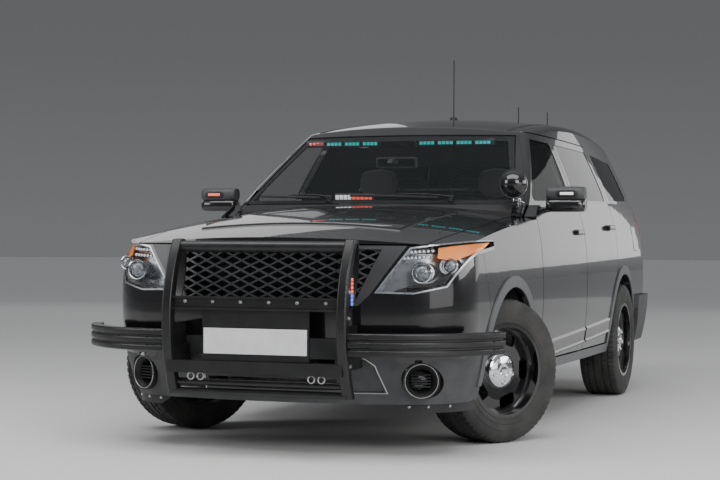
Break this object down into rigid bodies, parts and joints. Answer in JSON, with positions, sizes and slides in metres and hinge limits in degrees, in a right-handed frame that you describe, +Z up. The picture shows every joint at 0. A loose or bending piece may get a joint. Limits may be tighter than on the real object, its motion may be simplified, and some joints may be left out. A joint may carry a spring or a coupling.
{
  "type": "police patrol car",
  "caption": "Tall four-door patrol car with a push bumper, opening hood, doors and tailgate, steered front wheels and four rolling wheels.",
  "frame": {"origin": "on the floor under the middle of the car, midway between the axles", "axes": "+Z up, the car faces -Y, +X is its left side"},
  "size_m": [2.292, 5.1808, 2.187],
  "materials": {
    "body_paint": "gloss",
    "glass": "gloss",
    "lamp_lens": "gloss",
    "tail_lens": "gloss",
    "black_trim": "satin",
    "grey_trim": "satin",
    "push_coating": "satin",
    "gloss_trim": "gloss",
    "chrome_trim": "gloss",
    "plate_face": "satin",
    "cabin_plastic": "satin",
    "seat_cloth": "satin",
    "underbody": "satin",
    "cast_metal": "satin",
    "exhaust_steel": "satin",
    "wheel_steel": "satin",
    "tyre_rubber": "satin"
  },
  "bodies": {
    "root": {"body_side_left": "body_paint", "body_side_right": "body_paint", "fender_left": "body_paint", "fender_right": "body_paint", "roof_panel": "body_paint", "front_bumper": "body_paint", "windshield": "glass", "quarter_glass": "glass", "headlamps": "lamp_lens", "fog_lamps": "lamp_lens", "tail_lamps": "tail_lens", "cowl_panel": "black_trim", "wheel_liners": "black_trim", "wipers": "black_trim", "antennas": "black_trim", "grille": "black_trim", "front_bumper_lower": "grey_trim", "rear_bumper": "grey_trim", "side_cladding": "grey_trim", "push_bumper": "push_coating", "push_wings": "push_coating", "spotlight": "chrome_trim", "front_plate": "plate_face", "dashboard": "cabin_plastic", "steering_wheel": "cabin_plastic", "partition": "cabin_plastic", "interior_mirror": "cabin_plastic", "light_bar": "cabin_plastic", "front_seats": "seat_cloth", "rear_bench": "seat_cloth", "floor_pan": "underbody", "fuel_tank": "underbody", "engine_block": "cast_metal", "front_subframe": "cast_metal", "rear_axle": "cast_metal", "exhaust": "exhaust_steel"},
    "hood": {"hood": "body_paint"},
    "tailgate": {"tailgate": "body_paint", "tailgate_glass": "glass"},
    "front_door_left": {"door_front_left": "body_paint", "door_glass_front_left": "glass", "mirror_left": "gloss_trim"},
    "rear_door_left": {"door_rear_left": "body_paint", "door_glass_rear_left": "glass"},
    "steering_left": {"knuckle_left": "cast_metal"},
    "front_wheel_left": {"wheel_front_left": "wheel_steel", "tyre_front_left": "tyre_rubber"},
    "rear_wheel_left": {"wheel_rear_left": "wheel_steel", "tyre_rear_left": "tyre_rubber"},
    "front_door_right": {"door_front_right": "body_paint", "door_glass_front_right": "glass", "mirror_right": "gloss_trim"},
    "rear_door_right": {"door_rear_right": "body_paint", "door_glass_rear_right": "glass"},
    "steering_right": {"knuckle_right": "cast_metal"},
    "front_wheel_right": {"wheel_front_right": "wheel_steel", "tyre_front_right": "tyre_rubber"},
    "rear_wheel_right": {"wheel_rear_right": "wheel_steel", "tyre_rear_right": "tyre_rubber"}
  },
  "joints": [
    {"name": "hood_hinge", "type": "hinge", "parent": "root", "child": "hood", "pos_m": [0, -0.89, 1.212], "axis": [-1, 0, 0], "range_deg": [0, 50]},
    {"name": "tailgate_hinge", "type": "hinge", "parent": "root", "child": "tailgate", "pos_m": [0, 2.331, 1.643], "axis": [1, 0, 0], "range_deg": [0, 80]},
    {"name": "front_door_left_hinge", "type": "hinge", "parent": "root", "child": "front_door_left", "pos_m": [0.97, -0.85, 0.8], "axis": [0, 0, -1], "range_deg": [0, 66]},
    {"name": "rear_door_left_hinge", "type": "hinge", "parent": "root", "child": "rear_door_left", "pos_m": [0.978, 0.213, 0.8], "axis": [0, 0, -1], "range_deg": [0, 68]},
    {"name": "steering_left", "type": "hinge", "parent": "root", "child": "steering_left", "pos_m": [0.8, -1.43, 0.3635], "axis": [0, 0, 1], "range_deg": [0, 62]},
    {"name": "front_wheel_left_spin", "type": "hinge", "parent": "steering_left", "child": "front_wheel_left", "pos_m": [0.84372, -1.45627, 0.3635], "axis": [0.8572, -0.515, 0], "continuous": true},
    {"name": "rear_wheel_left_spin", "type": "hinge", "parent": "root", "child": "rear_wheel_left", "pos_m": [0.851, 1.43, 0.3635], "axis": [1, 0, 0], "continuous": true},
    {"name": "front_door_right_hinge", "type": "hinge", "parent": "root", "child": "front_door_right", "pos_m": [-0.97, -0.85, 0.8], "axis": [0, 0, 1], "range_deg": [0, 66]},
    {"name": "rear_door_right_hinge", "type": "hinge", "parent": "root", "child": "rear_door_right", "pos_m": [-0.978, 0.213, 0.8], "axis": [0, 0, 1], "range_deg": [0, 68]},
    {"name": "steering_right", "type": "hinge", "parent": "root", "child": "steering_right", "pos_m": [-0.8, -1.43, 0.3635], "axis": [0, 0, 1], "range_deg": [0, 62]},
    {"name": "front_wheel_right_spin", "type": "hinge", "parent": "steering_right", "child": "front_wheel_right", "pos_m": [-0.84372, -1.40373, 0.3635], "axis": [0.8572, -0.515, 0], "continuous": true},
    {"name": "rear_wheel_right_spin", "type": "hinge", "parent": "root", "child": "rear_wheel_right", "pos_m": [-0.851, 1.43, 0.3635], "axis": [1, 0, 0], "continuous": true}
  ],
  "couplings": [
    {"joint": "steering_right", "follows": "steering_left", "ratio": 1}
  ]
}
